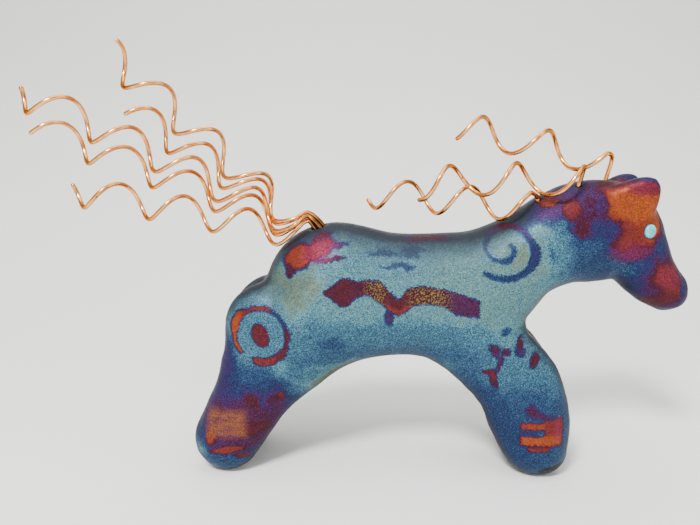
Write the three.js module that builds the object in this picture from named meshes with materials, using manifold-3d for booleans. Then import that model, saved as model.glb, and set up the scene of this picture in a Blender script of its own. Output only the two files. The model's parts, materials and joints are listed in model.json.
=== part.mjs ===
// A raku-fired ceramic horse, about 25 cm from haunch to muzzle, with a tail and a mane of coiled copper wire.
//
// The body is one piece of clay: trunk, neck and head, four short legs in two close pairs, and two ears.
// It stands on its soles. Five wires share one socket on the rump, three more stand in sockets along the
// crest of the neck, and a turquoise stone is set in each side of the head.
//
// Millimetres, +Z up. The horse faces +X and its right side faces -Y. The origin is on the ground, under
// the middle of the whole piece.

import * as THREE from "three";
import { mergeVertices } from "three/addons/utils/BufferGeometryUtils.js";
import Module from "manifold-3d";

// Driving dimensions of the clay body. Its proportions are drawn in the side view for a horse of the
// drawn height, from a point on the ground under the back, x forward and z up, and follow its height.
const HORSE_HEIGHT = 149; // from the ground to the tips of the ears
const DRAWN_HEIGHT = 149;
const BODY_CELL = HORSE_HEIGHT / 24.4; // size of the facets of the clay
const EAR_CELL = HORSE_HEIGHT / 45; // and of the ears, which are modelled apart and joined on
const HIND_BLEND = 46; // how softly the hind legs flow into the belly
const FORE_BLEND = 11; // the same for the fore legs
const OUTER_BLEND = 4; // the same at the rump and the chest
const PAIR_BLEND = 4; // how softly the left and right leg flow together

// Driving dimensions of the wire.
const WIRE_DIAMETER = 2.05; // 12 gauge copper
const DOWEL_DIAMETER = 12.7; // the rod that the wire was wound on
const TAIL_PITCH = 31.4; // from crest to crest of a tail coil, as it was pulled out
const MANE_PITCH = 30.8; // the same in the mane
const WIRE_SIDES = 6;
const STEPS_PER_TURN = 9.5; // facets along a turn of wire
const POINTS_PER_TURN = 24; // points that its curve is drawn through
const LEAD_IN = 0.6; // the straight start of a wire, as a share of a turn
const COIL_SLACK = 0.2; // how much a coil's radius shrank as it was pulled out
const SOCKET_GAP = 0.3; // between a wire and the clay, and between two wires in one socket
const SOCKET_DEPTH = 12;

// Driving dimensions of the eyes.
const EYE_LENGTH = 6.6;
const EYE_WIDTH = 5.6;
const EYE_DEPTH = 3.2; // stone below its rim
const EYE_DOME = 1.3; // stone above its rim
const EYE_SIDES = 16;

const wasm = await Module();
wasm.setup();

const degrees = THREE.MathUtils.degToRad;
const proportion = HORSE_HEIGHT / DRAWN_HEIGHT;
const drawn = (x, y, z) => new THREE.Vector3(x, y, z).multiplyScalar(proportion);

// A geometry as a manifold-3d solid.
function solidOf(geometry) {
  const bare = new THREE.BufferGeometry().setAttribute(
    "position",
    (geometry.index ? geometry.toNonIndexed() : geometry).getAttribute("position"),
  );
  const merged = mergeVertices(bare, 1e-4);
  return new wasm.Manifold(
    new wasm.Mesh({
      numProp: 3,
      vertProperties: new Float32Array(merged.attributes.position.array),
      triVerts: new Uint32Array(merged.index.array),
    }),
  );
}

// A manifold-3d solid as a geometry.
function geometryOf(solid) {
  const mesh = solid.getMesh();
  const positions = new Float32Array(mesh.numVert * 3);
  for (let i = 0; i < mesh.numVert; i++) {
    positions.set(mesh.vertProperties.subarray(i * mesh.numProp, i * mesh.numProp + 3), i * 3);
  }
  const geometry = new THREE.BufferGeometry();
  geometry.setAttribute("position", new THREE.BufferAttribute(positions, 3));
  geometry.setIndex(new THREE.BufferAttribute(mesh.triVerts.slice(), 1));
  geometry.computeVertexNormals();
  return geometry;
}

// The clay body.
// A station is a section of a limb: where its middle is, its radius in the side view, and its half width.
const station = (x, z, radius, halfWidth, y = 0) => ({
  x: x * proportion,
  y: y * proportion,
  z: z * proportion,
  radius: radius * proportion,
  halfWidth: halfWidth * proportion,
});

const trunkAndHead = [
  station(-15, 90.5, 27.8, 22),
  station(-7, 94, 31, 22.5),
  station(18, 89, 31, 24),
  station(46, 89, 30.8, 24),
  station(66, 94.5, 27.5, 23),
  station(84, 107.8, 21.8, 20),
  station(104, 118.7, 23.6, 18.5),
  station(118, 121.2, 25.5, 17),
  station(127.8, 121.5, 22.2, 16),
  station(137, 112.8, 17.2, 14.5),
  station(147, 99.6, 13.3, 13),
  station(155.6, 92.3, 11, 12),
];

const hindLeg = (side) => [
  station(-39.2, 73, 23.4, 14, side * 9),
  station(-39, 61, 24.3, 13.6, side * 10.5),
  station(-47.5, 42.5, 20, 13.2, side * 12.5),
  station(-61.8, 16.2, 17.2, 12.5, side * 14.5),
];

const foreLeg = (side) => [
  station(61, 69, 20.8, 14, side * 9),
  station(82, 48.6, 21.2, 13.2, side * 12),
  station(89.4, 30, 20.5, 12.5, side * 13.5),
  station(93, 16.4, 16.6, 12.3, side * 14),
  station(97, 11.7, 12.5, 11, side * 13.8),
];

const leftEarStations = [
  station(126, 137.5, 7.2, 6, 7.5),
  station(134, 141.2, 7.2, 5.5, 9.8),
  station(138.4, 142.8, 5.4, 5, 10.6),
  station(137.8, 134, 6, 5.5, 8.5),
];

// A limb's stations, joined by a smooth spine and cut into short stretches.
function stretchesOf(stations, cuts = 6) {
  const keys = ["x", "y", "z", "radius", "halfWidth"];
  const at = (i) => stations[Math.max(0, Math.min(stations.length - 1, i))];
  const spline = (a, b, c, d, t) =>
    0.5 * (2 * b + (c - a) * t + (2 * a - 5 * b + 4 * c - d) * t * t + (3 * b - a - 3 * c + d) * t ** 3);
  const points = [];
  for (let i = 0; i < stations.length - 1; i++) {
    for (let j = 0; j < cuts; j++) {
      const around = [at(i - 1), at(i), at(i + 1), at(i + 2)];
      points.push(
        Object.fromEntries(keys.map((k) => [k, spline(...around.map((s) => s[k]), j / cuts)])),
      );
    }
  }
  points.push({ ...at(stations.length - 1) });
  return points.slice(1).map((end, i) => [points[i], end]);
}

// How far a point is outside a limb, along the limb's own round or flattened sections.
function limbDistance(stretches, x, y, z) {
  let nearest = Infinity;
  for (const [a, b] of stretches) {
    const dx = b.x - a.x;
    const dz = b.z - a.z;
    const along = ((x - a.x) * dx + (z - a.z) * dz) / (dx * dx + dz * dz);
    const t = Math.max(0, Math.min(1, along));
    const radius = a.radius + (b.radius - a.radius) * t;
    const halfWidth = a.halfWidth + (b.halfWidth - a.halfWidth) * t;
    const offside = ((y - a.y - (b.y - a.y) * t) * radius) / halfWidth;
    nearest = Math.min(nearest, Math.hypot(x - a.x - dx * t, z - a.z - dz * t, offside) - radius);
  }
  return nearest;
}

// The nearer of two distances, with a fillet where they meet.
function blended(a, b, fillet) {
  const h = Math.max(0, fillet - Math.abs(a - b)) / fillet;
  return Math.min(a, b) - (h * h * fillet) / 4;
}

const limbs = {
  trunk: stretchesOf(trunkAndHead),
  hind: [stretchesOf(hindLeg(1)), stretchesOf(hindLeg(-1))],
  fore: [stretchesOf(foreLeg(1)), stretchesOf(foreLeg(-1))],
  ear: stretchesOf(leftEarStations),
};

function bodyDistance(x, y, z) {
  const pair = ([left, right]) =>
    blended(limbDistance(left, x, y, z), limbDistance(right, x, y, z), PAIR_BLEND);
  const { lerp, smoothstep } = THREE.MathUtils;
  const [drawnX, drawnZ] = [x / proportion, z / proportion];
  const underHaunch = smoothstep(drawnX - 0.6 * (drawnZ - 60), -60, -34);
  const behindChest = smoothstep(-drawnX, -82, -62);
  const hindFillet = lerp(OUTER_BLEND, HIND_BLEND, underHaunch);
  const foreFillet = lerp(OUTER_BLEND, FORE_BLEND, behindChest);
  let distance = limbDistance(limbs.trunk, x, y, z);
  distance = blended(distance, pair(limbs.hind), hindFillet);
  distance = blended(distance, pair(limbs.fore), foreFillet);
  return distance;
}

// The skin of a shape given by a distance function: one point in each grid cell that the surface
// crosses, pulled onto the surface, and a face across each grid edge that it crosses.
function skin(distance, low, high, cell) {
  const count = [0, 1, 2].map((i) => Math.ceil((high[i] - low[i]) / cell) + 1);
  const [nx, ny, nz] = count;
  const index = (i, j, k) => i + nx * (j + ny * k);
  const values = new Float32Array(nx * ny * nz);
  for (let k = 0; k < nz; k++) {
    for (let j = 0; j < ny; j++) {
      for (let i = 0; i < nx; i++) {
        values[index(i, j, k)] = distance(low[0] + i * cell, low[1] + j * cell, low[2] + k * cell);
      }
    }
  }
  const corners = [0, 1, 2, 3, 4, 5, 6, 7].map((c) => [c & 1, (c >> 1) & 1, (c >> 2) & 1]);
  const edges = corners.flatMap((a, i) =>
    [1, 2, 4].filter((bit) => !(i & bit)).map((bit) => [i, i | bit]),
  );
  const positions = [];
  const vertexOf = new Map();
  for (let k = 0; k < nz - 1; k++) {
    for (let j = 0; j < ny - 1; j++) {
      for (let i = 0; i < nx - 1; i++) {
        const v = corners.map(([a, b, c]) => values[index(i + a, j + b, k + c)]);
        const sum = [0, 0, 0];
        let crossings = 0;
        for (const [a, b] of edges) {
          if (v[a] < 0 === v[b] < 0) continue;
          const t = v[a] / (v[a] - v[b]);
          for (let n = 0; n < 3; n++) sum[n] += corners[a][n] + (corners[b][n] - corners[a][n]) * t;
          crossings++;
        }
        if (!crossings) continue;
        const p = [i, j, k].map((o, n) => low[n] + (o + sum[n] / crossings) * cell);
        vertexOf.set(index(i, j, k), positions.length / 3);
        positions.push(...ontoSurface(distance, p, cell));
      }
    }
  }
  const faces = [];
  const steps = [
    [[1, 0, 0], [0, 1, 0], [0, 0, 1]],
    [[0, 1, 0], [0, 0, 1], [1, 0, 0]],
    [[0, 0, 1], [1, 0, 0], [0, 1, 0]],
  ];
  for (let k = 1; k < nz - 1; k++) {
    for (let j = 1; j < ny - 1; j++) {
      for (let i = 1; i < nx - 1; i++) {
        for (const [along, u, w] of steps) {
          const here = values[index(i, j, k)] < 0;
          const next = values[index(i + along[0], j + along[1], k + along[2])] < 0;
          if (here === next) continue;
          const ring = [[0, 0], [1, 0], [1, 1], [0, 1]].map(([a, b]) =>
            vertexOf.get(index(i - a * u[0] - b * w[0], j - a * u[1] - b * w[1], k - a * u[2] - b * w[2])),
          );
          if (!here) ring.reverse();
          faces.push(ring[0], ring[1], ring[2], ring[0], ring[2], ring[3]);
        }
      }
    }
  }
  const geometry = new THREE.BufferGeometry();
  geometry.setAttribute("position", new THREE.Float32BufferAttribute(positions, 3));
  geometry.setIndex(faces);
  return geometry;
}

// A point near the surface, moved onto it along the slope of the distance.
function ontoSurface(distance, point, cell) {
  const step = cell / 50;
  let [x, y, z] = point;
  for (let round = 0; round < 3; round++) {
    const d = distance(x, y, z);
    const g = [
      distance(x + step, y, z) - distance(x - step, y, z),
      distance(x, y + step, z) - distance(x, y - step, z),
      distance(x, y, z + step) - distance(x, y, z - step),
    ].map((n) => n / (2 * step));
    const scale = d / Math.max(0.2, g[0] ** 2 + g[1] ** 2 + g[2] ** 2);
    const reach = Math.min(1, (cell * 0.4) / Math.max(1e-9, Math.hypot(...g) * Math.abs(scale)));
    x -= g[0] * scale * reach;
    y -= g[1] * scale * reach;
    z -= g[2] * scale * reach;
  }
  return [x, y, z];
}

// The skin of some limbs, each a list of stretches, in a box that is even about the middle plane.
function skinOf(distance, stretches, cell) {
  const all = stretches.flat(2);
  const margin = 2.5 * cell;
  const edge = (key, size, sign) =>
    sign * (Math.max(...all.map((s) => sign * s[key] + s[size])) + margin);
  const wide = Math.ceil(edge("y", "halfWidth", 1) / cell) * cell;
  return skin(
    distance,
    [edge("x", "radius", -1), -wide, edge("z", "radius", -1)],
    [edge("x", "radius", 1), wide, edge("z", "radius", 1)],
    cell,
  );
}

const bodyLimbs = [limbs.trunk, ...limbs.hind, ...limbs.fore];
let clay = solidOf(skinOf(bodyDistance, bodyLimbs, BODY_CELL));
const leftEar = solidOf(skinOf((x, y, z) => limbDistance(limbs.ear, x, y, z), [limbs.ear], EAR_CELL));
clay = clay.add(leftEar).add(leftEar.mirror([0, 1, 0]));

// Cuts the soles flat on the ground.
const [groundLength, groundWidth, groundDepth] = [400, 120, 60];
const ground = new THREE.BoxGeometry(groundLength, groundWidth, groundDepth);
ground.translate(0, 0, -groundDepth / 2);
clay = clay.subtract(solidOf(ground));

// The wires.
// A coil winds about an axis that starts at an offset from where its wire leaves the clay. Its rise, in
// degrees above the level, and its pitch, as shares of the named one, drift from the first turn to the last.
const tail = [
  { offset: [-1.6, 3.4, -6], rise: [41, 43], stretch: [0.994, 1.003], yaw: 0, turns: 4 },
  { offset: [-1.1, 6.2, -6.4], rise: [34, 32], stretch: [1.016, 0.987], yaw: 2.5, turns: 3.28 },
  { offset: [-0.2, 4, -8.3], rise: [21, 20], stretch: [1.013, 1.099], yaw: 1.5, turns: 4.3 },
  { offset: [-0.3, 0, -9.8], rise: [12.5, 10], stretch: [0.994, 1], yaw: -2.5, turns: 3.8 },
  { offset: [0.5, -2.8, -6.7], rise: [28, 24], stretch: [1, 1.013], yaw: -2.5, turns: 4.8 },
];
const mane = [
  {
    root: drawn(122.5, 0, 147),
    lean: [0.2, 0, 1],
    bend: [1.9, 0, 9.4], // where the wire turns over, from its root
    offset: [1.5, 0, 6.6],
    rise: [17, 8],
    stretch: [1.062, 0.987],
    yaw: 1.5,
    turns: 2.38,
  },
  {
    root: drawn(108, -6, 144.6),
    lean: [0.1, -0.4, 1],
    offset: [0.5, -3.5, 1.4],
    rise: [4.5, -7],
    stretch: [1.039, 0.958],
    yaw: -3,
    turns: 2.52,
  },
  {
    root: drawn(89.6, -5, 137),
    lean: [-0.25, -0.35, 1],
    offset: [-3.1, -1.5, -3.4],
    rise: [4, 3],
    stretch: [0.961, 1],
    yaw: 10.5,
    turns: 2.67,
  },
];

// The tail wires leave the rump side by side, as the corners of a pentagon about this line.
const tailRoot = drawn(-15.6, -1, 123);
const tailCrest = tailRoot.clone().add(new THREE.Vector3(-5, -1, 4.9));
const tailLean = new THREE.Vector3(-1, 0, 1.3).normalize();
const coilRadius = (DOWEL_DIAMETER + WIRE_DIAMETER) / 2 - COIL_SLACK;
const wireStep = WIRE_DIAMETER + 2 * SOCKET_GAP;
const pentagonRadius = wireStep / (2 * Math.sin(Math.PI / tail.length));

// How far past its first crest a coil takes over from the wire's straight part, in degrees.
const TAIL_JOIN = 75;
const BENT_JOIN = 60;
const MANE_JOIN = 15;

// Points along a coil, from such an angle to its tip.
function coilPoints(start, pitch, { offset, rise, stretch, yaw, turns }, firstDegrees) {
  const points = [];
  const centre = start.clone().add(new THREE.Vector3(...offset));
  const steps = Math.round(turns * POINTS_PER_TURN);
  for (let i = 0; i <= steps; i++) {
    const t = i / steps;
    const slope = degrees(THREE.MathUtils.lerp(rise[0], rise[1], t));
    const turn = degrees(yaw);
    const along = new THREE.Vector3(
      -Math.cos(slope) * Math.cos(turn),
      Math.cos(slope) * Math.sin(turn),
      Math.sin(slope),
    );
    const side = new THREE.Vector3(Math.sin(turn), Math.cos(turn), 0);
    const up = new THREE.Vector3().crossVectors(along, side).negate();
    const angle = 2 * Math.PI * turns * t;
    const point = centre
      .clone()
      .addScaledVector(up, coilRadius * Math.cos(angle))
      .addScaledVector(side, -coilRadius * Math.sin(angle));
    if (angle >= degrees(firstDegrees) - 1e-9) points.push(point);
    const step = (pitch * THREE.MathUtils.lerp(stretch[0], stretch[1], t) * turns) / steps;
    centre.addScaledVector(along, step);
  }
  return points;
}

// A closed tube of wire through the points.
function wire(points, turns) {
  const path = new THREE.CatmullRomCurve3(points, false, "centripetal");
  const round = new THREE.Shape(
    new THREE.Path()
      .absarc(0, 0, WIRE_DIAMETER / 2, 0, 2 * Math.PI)
      .getSpacedPoints(WIRE_SIDES)
      .slice(0, -1),
  );
  return new THREE.ExtrudeGeometry(round, {
    steps: Math.round((turns + LEAD_IN) * STEPS_PER_TURN),
    extrudePath: path,
  });
}

// A wire's straight part, from the end of its socket to just outside the mouth.
const straight = (mouth, lean) =>
  [SOCKET_GAP - SOCKET_DEPTH, 0, WIRE_DIAMETER / 2].map((n) => mouth.clone().addScaledVector(lean, n));

const across = new THREE.Vector3(0, 1, 0);
const upward = new THREE.Vector3().crossVectors(across, tailLean);
const tailWires = tail.map((coil, i) => {
  const angle = Math.PI / 2 - (2 * Math.PI * i) / tail.length;
  const offset = new THREE.Vector3()
    .addScaledVector(across, pentagonRadius * Math.cos(angle))
    .addScaledVector(upward, pentagonRadius * Math.sin(angle));
  const crestOffset = new THREE.Vector3(
    0,
    pentagonRadius * Math.cos(angle),
    pentagonRadius * Math.sin(angle),
  );
  return wire(
    [
      ...straight(tailRoot.clone().add(offset), tailLean),
      tailCrest.clone().add(crestOffset),
      ...coilPoints(tailCrest, TAIL_PITCH, coil, TAIL_JOIN),
    ],
    coil.turns,
  );
});
const maneRoots = mane.map(({ root, lean }) => [root, new THREE.Vector3(...lean).normalize()]);
const maneWires = mane.map((coil, i) => {
  const bend = coil.bend ? [coil.root.clone().add(new THREE.Vector3(...coil.bend))] : [];
  const turns = coilPoints(coil.root, MANE_PITCH, coil, coil.bend ? BENT_JOIN : MANE_JOIN);
  return wire([...straight(...maneRoots[i]), ...bend, ...turns], coil.turns);
});

// A drilled socket, from its bottom to well outside the clay.
function socket(mouth, lean, radius) {
  const length = SOCKET_DEPTH * 2;
  const drill = new THREE.CylinderGeometry(radius, radius, length, 16);
  drill.translate(0, length / 2 - SOCKET_DEPTH, 0);
  drill.applyQuaternion(new THREE.Quaternion().setFromUnitVectors(across, lean));
  drill.translate(mouth.x, mouth.y, mouth.z);
  return solidOf(drill);
}
clay = clay.subtract(socket(tailRoot, tailLean, pentagonRadius + WIRE_DIAMETER / 2 + 2 * SOCKET_GAP));
for (const [mouth, lean] of maneRoots) {
  clay = clay.subtract(socket(mouth, lean, WIRE_DIAMETER / 2 + 1.5 * SOCKET_GAP));
}

// The eyes.
// An oval stone with a domed face, standing out of the head along its own outward direction.
const eyePlace = { x: 140.1 * proportion, z: 123.4 * proportion, tiltUp: 6, turnForward: 16, slant: 20 };

// How far from the middle plane the head's surface is at the eye.
function eyeReach() {
  let [inside, outside] = [0, 40];
  for (let i = 0; i < 30; i++) {
    const middle = (inside + outside) / 2;
    if (bodyDistance(eyePlace.x, middle, eyePlace.z) < 0) inside = middle;
    else outside = middle;
  }
  return inside;
}

// The left stone, or with a clearance the hole it sits in.
function eyeSolid(clearance) {
  const radius = 1 + (2 * clearance) / EYE_WIDTH;
  const bottom = -EYE_DEPTH - clearance;
  const profile = [new THREE.Vector2(0, bottom), new THREE.Vector2(radius, bottom)];
  if (clearance) {
    profile.push(new THREE.Vector2(radius, 3 * EYE_DOME), new THREE.Vector2(0, 3 * EYE_DOME));
  } else {
    for (let i = 0; i <= 4; i++) {
      const a = (Math.PI / 8) * i;
      profile.push(new THREE.Vector2(i < 4 ? Math.cos(a) : 0, EYE_DOME * Math.sin(a)));
    }
  }
  const stone = new THREE.LatheGeometry(profile, EYE_SIDES);
  stone.scale(EYE_WIDTH / 2, 1, EYE_LENGTH / 2);
  stone.rotateY(degrees(eyePlace.slant));
  stone.rotateX(degrees(eyePlace.tiltUp));
  stone.rotateZ(-degrees(eyePlace.turnForward));
  stone.translate(eyePlace.x, eyeReach(), eyePlace.z);
  return solidOf(stone);
}
const eyeHole = eyeSolid(SOCKET_GAP);
const leftEye = eyeSolid(0);
clay = clay.subtract(eyeHole).subtract(eyeHole.mirror([0, 1, 0]));

// The pieces, with the origin moved under the middle of the whole.
const group = new THREE.Group();
const clayMaterial = new THREE.MeshStandardMaterial({ color: 0x4a86a0, roughness: 0.55, metalness: 0.2 });
const copperMaterial = new THREE.MeshStandardMaterial({ color: 0xc9793f, roughness: 0.28, metalness: 1 });
const stoneMaterial = new THREE.MeshStandardMaterial({ color: 0x8fd6dc, roughness: 0.35, metalness: 0 });
function add(name, geometry, material) {
  const mesh = new THREE.Mesh(geometry, material);
  mesh.name = name;
  group.add(mesh);
}
add("horse_body", geometryOf(clay), clayMaterial);
tailWires.forEach((geometry, i) => add(`tail_wire_${i + 1}`, geometry, copperMaterial));
maneWires.forEach((geometry, i) => add(`mane_wire_${i + 1}`, geometry, copperMaterial));
add("eye_stone_left", geometryOf(leftEye), stoneMaterial);
add("eye_stone_right", geometryOf(leftEye.mirror([0, 1, 0])), stoneMaterial);

const whole = new THREE.Box3().setFromObject(group);
const middle = whole.getCenter(new THREE.Vector3());
group.children.forEach((mesh) => mesh.geometry.translate(-middle.x, -middle.y, -whole.min.z));

export default group;
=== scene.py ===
"""Raku-fired ceramic horse with coiled copper wire and stone eyes: shapes, glaze, wire and studio.

Laid out as a Blender add-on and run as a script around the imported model. The lengths of the horse are in
millimetres, and MM turns them into metres where a mesh is made. The lengths of the studio are in metres.
"""

import json
import math

import bmesh
import bpy
from mathutils import Matrix, Vector, noise

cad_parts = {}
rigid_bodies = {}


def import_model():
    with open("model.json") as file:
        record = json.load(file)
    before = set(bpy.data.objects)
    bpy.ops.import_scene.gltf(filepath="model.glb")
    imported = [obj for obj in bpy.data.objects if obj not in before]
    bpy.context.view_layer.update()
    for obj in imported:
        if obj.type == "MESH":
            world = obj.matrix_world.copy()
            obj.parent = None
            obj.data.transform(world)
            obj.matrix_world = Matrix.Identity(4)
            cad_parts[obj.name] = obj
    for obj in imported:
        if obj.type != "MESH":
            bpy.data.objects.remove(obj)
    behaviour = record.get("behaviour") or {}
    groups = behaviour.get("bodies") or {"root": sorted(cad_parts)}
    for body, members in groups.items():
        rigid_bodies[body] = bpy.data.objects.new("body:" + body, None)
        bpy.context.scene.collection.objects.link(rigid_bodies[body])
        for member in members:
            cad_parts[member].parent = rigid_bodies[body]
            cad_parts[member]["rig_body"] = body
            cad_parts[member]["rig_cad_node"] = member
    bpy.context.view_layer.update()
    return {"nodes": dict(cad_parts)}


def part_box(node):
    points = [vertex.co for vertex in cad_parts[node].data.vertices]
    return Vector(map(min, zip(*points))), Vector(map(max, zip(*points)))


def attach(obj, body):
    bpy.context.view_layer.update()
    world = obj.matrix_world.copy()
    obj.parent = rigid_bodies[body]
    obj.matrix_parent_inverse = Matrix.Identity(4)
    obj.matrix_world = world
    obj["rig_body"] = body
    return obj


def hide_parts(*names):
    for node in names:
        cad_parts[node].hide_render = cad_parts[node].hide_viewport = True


bl_info = {
    "name": "Raku Horse",
    "version": (1, 0, 0),
    "blender": (4, 5, 0),
    "location": "View3D > Sidebar > Horse",
    "description": "Models and glazes a ceramic horse with copper wire mane and tail",
    "category": "Add Mesh",
}

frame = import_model()

MM = 0.001
TAIL_NODES = [f"tail_wire_{i}" for i in range(1, 6)]
MANE_NODES = [f"mane_wire_{i}" for i in range(1, 4)]

# How far the part's origin lies from the source's own, along X.
SOURCE_X = 4.712

# Points closer than this are joined into one.
MERGE_DISTANCE = 0.002

# Where the wires leave the clay and how each coil winds, in the source's own axes.
TAIL_ROOT = (-15.6, -1.0, 123.0)
TAIL_CREST = (-20.6, -2.0, 127.9)
TAIL_LEAN = (-1.0, 0.0, 1.3)
TAIL_PITCH = 31.4
MANE_PITCH = 30.8
TAIL_COILS = [
    dict(offset=(-1.6, 3.4, -6), rise=(41, 43), stretch=(0.994, 1.003), yaw=0, turns=4),
    dict(offset=(-1.1, 6.2, -6.4), rise=(34, 32), stretch=(1.016, 0.987), yaw=2.5, turns=3.28),
    dict(offset=(-0.2, 4, -8.3), rise=(21, 20), stretch=(1.013, 1.099), yaw=1.5, turns=4.3),
    dict(offset=(-0.3, 0, -9.8), rise=(12.5, 10), stretch=(0.994, 1), yaw=-2.5, turns=3.8),
    dict(offset=(0.5, -2.8, -6.7), rise=(28, 24), stretch=(1, 1.013), yaw=-2.5, turns=4.8),
]
MANE_COILS = [
    dict(offset=(1.5, 0, 6.6), rise=(17, 8), stretch=(1.062, 0.987), yaw=1.5, turns=2.38),
    dict(offset=(0.5, -3.5, 1.4), rise=(4.5, -7), stretch=(1.039, 0.958), yaw=-3, turns=2.52),
    dict(offset=(-3.1, -1.5, -3.4), rise=(4, 3), stretch=(0.961, 1), yaw=10.5, turns=2.67),
]
MANE_ROOTS = [
    dict(root=(122.5, 0, 147), lean=(0.2, 0, 1), bend=(1.9, 0, 9.4)),
    dict(root=(108, -6, 144.6), lean=(0.1, -0.4, 1), bend=None),
    dict(root=(89.6, -5, 137), lean=(-0.25, -0.35, 1), bend=None),
]
SOCKET_DEPTH = 12.0
SOCKET_GAP = 0.3

# The angle past a coil's first crest where its wire joins it, how much closer than the rod it winds, and how
# many points a turn has.
TAIL_FIRST_ANGLE = 75
MANE_FIRST_ANGLE = 15
BENT_FIRST_ANGLE = 60
COIL_SLACK = 0.2
POINTS_PER_TURN = 24

# The rounded end of a wire: shares of its radius along the end, and how thick it is there.
TIP_ROUNDING = ((0.35, 0.94), (0.7, 0.71), (0.92, 0.39))
TIP_END = 0.05

# How an eye is turned on the head, in degrees.
EYE_TILT_UP = 6
EYE_TURN_FORWARD = 16
EYE_SLANT = 20

# An eye stone's girdle, the bevel round its back, and the length and shift of what cuts its hole.
GIRDLE_DEPTH = 3.2
BACK_BEVEL = (0.35, 0.2)
EYE_CUTTER_LENGTH = 8
EYE_CUTTER_SHIFT = 1.4

# Plugs that fill the faceted holes: their slack, their reach below a socket, how far they stay under the
# skin, and the half axes and the depth of those in the eye holes. A cutter stands CUTTER_TOP out of a socket.
PLUG_SLACK = 1.2
PLUG_REACH = 2
TAIL_PLUG_TOP = -2.2
MANE_PLUG_TOP = -1.4
EYE_PLUG = (3.9, 4.4, 3.2)
EYE_PLUG_DEPTH = 2.6
CUTTER_TOP = 8

# The width of the broad and the small lumps of the clay, and how they fade in above the flat soles. Points
# lower than SOLE_GUARD are kept from sinking into the floor.
BROAD_LUMP = 22
SMALL_LUMP = 9
SOLE_FLAT = 1
SOLE_FADE = 6
SOLE_GUARD = 0.8
CLAY_SMOOTHING = dict(factor=0.5, iterations=12)

# Edges sharper than this stay sharp, in degrees.
CLAY_CREASE = 40
STONE_CREASE = 50


class HorseClaySettings(bpy.types.PropertyGroup):
    grain: bpy.props.FloatProperty(
        name="Mesh grain", description="Size of the faces of the clay", default=1.25 * MM, unit="LENGTH"
    )
    lumps: bpy.props.FloatProperty(
        name="Lumps",
        description="Height of the soft unevenness of hand-built clay",
        default=0.45 * MM,
        unit="LENGTH",
    )
    roughness: bpy.props.FloatProperty(
        name="Roughness",
        description="Roughness of the matte glaze",
        default=0.46,
        min=0,
        max=1,
        subtype="FACTOR",
    )
    metallic: bpy.props.FloatProperty(
        name="Metallic",
        description="How metallic the copper glaze is",
        default=0.3,
        min=0,
        max=1,
        subtype="FACTOR",
    )


class HorseWireSettings(bpy.types.PropertyGroup):
    diameter: bpy.props.FloatProperty(
        name="Wire diameter", description="12 gauge copper wire", default=2.05 * MM, unit="LENGTH"
    )
    dowel: bpy.props.FloatProperty(
        name="Dowel diameter",
        description="The rod that the wire was wound on",
        default=12.7 * MM,
        unit="LENGTH",
    )
    colour: bpy.props.FloatVectorProperty(
        name="Copper", description="Colour of the bare copper", default=(0.72, 0.27, 0.07), subtype="COLOR"
    )


class HorseEyeSettings(bpy.types.PropertyGroup):
    length: bpy.props.FloatProperty(
        name="Length", description="Length of the oval stone", default=6.6 * MM, unit="LENGTH"
    )
    width: bpy.props.FloatProperty(
        name="Width", description="Width of the oval stone", default=5.6 * MM, unit="LENGTH"
    )
    dome: bpy.props.FloatProperty(
        name="Dome", description="Height of the polished face above its rim", default=1.3 * MM, unit="LENGTH"
    )
    colour: bpy.props.FloatVectorProperty(
        name="Stone", description="Colour of the pale turquoise", default=(0.06, 0.38, 0.48), subtype="COLOR"
    )


class HorseStageSettings(bpy.types.PropertyGroup):
    lens: bpy.props.FloatProperty(
        name="Focal length", description="Focal length on a sensor 36 mm wide", default=30.857, min=10
    )
    camera_place: bpy.props.FloatVectorProperty(
        name="Camera place",
        description="Where the camera stands",
        default=(0.005488, -0.2928, 0.1690),
        unit="LENGTH",
    )
    camera_pitch: bpy.props.FloatProperty(
        name="Camera pitch",
        description="How far the camera looks down",
        default=math.radians(12.4),
        unit="ROTATION",
    )
    camera_yaw: bpy.props.FloatProperty(
        name="Camera yaw",
        description="How far the camera turns to the left",
        default=math.radians(2),
        unit="ROTATION",
    )
    paper: bpy.props.FloatVectorProperty(
        name="Paper",
        description="Colour of the seamless backdrop",
        default=(0.86, 0.86, 0.845),
        subtype="COLOR",
    )


# Modelling helpers.


def part_point(point):
    """A point of the source's own axes, in the part's frame, in millimetres."""
    return Vector(point) - Vector((SOURCE_X, 0, 0))


def deselect():
    if bpy.context.object and bpy.context.object.mode != "OBJECT":
        bpy.ops.object.mode_set(mode="OBJECT")
    bpy.ops.object.select_all(action="DESELECT")


def select_only(obj):
    deselect()
    bpy.context.view_layer.objects.active = obj
    obj.select_set(True)


def new_piece(name):
    """The object that was just added, under its own name."""
    obj = bpy.context.object
    obj.name = name
    obj.data.name = name
    return obj


def apply_modifier(obj, kind, **settings):
    select_only(obj)
    modifier = obj.modifiers.new(kind.title(), kind)
    for key, value in settings.items():
        setattr(modifier, key, value)
    bpy.ops.object.modifier_apply(modifier=modifier.name)


def settle(obj):
    """Moves an object's place into its mesh and turns its faces outwards."""
    select_only(obj)
    bpy.ops.object.transform_apply(location=True, rotation=True, scale=True)
    bpy.ops.object.mode_set(mode="EDIT")
    bpy.ops.mesh.select_all(action="SELECT")
    bpy.ops.mesh.remove_doubles(threshold=MERGE_DISTANCE * MM)
    bpy.ops.mesh.normals_make_consistent(inside=False)
    bpy.ops.object.mode_set(mode="OBJECT")


def finish_piece(obj, nodes, material):
    obj.data.materials.clear()
    obj.data.materials.append(material)
    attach(obj, "root")
    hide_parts(*nodes)


def turned_to(direction, point):
    """The placing of a thing made along +Z, turned to a direction, at a point in millimetres."""
    turn = direction.to_track_quat("Z", "Y").to_matrix().to_4x4()
    return Matrix.Translation(point * MM) @ turn


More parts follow.
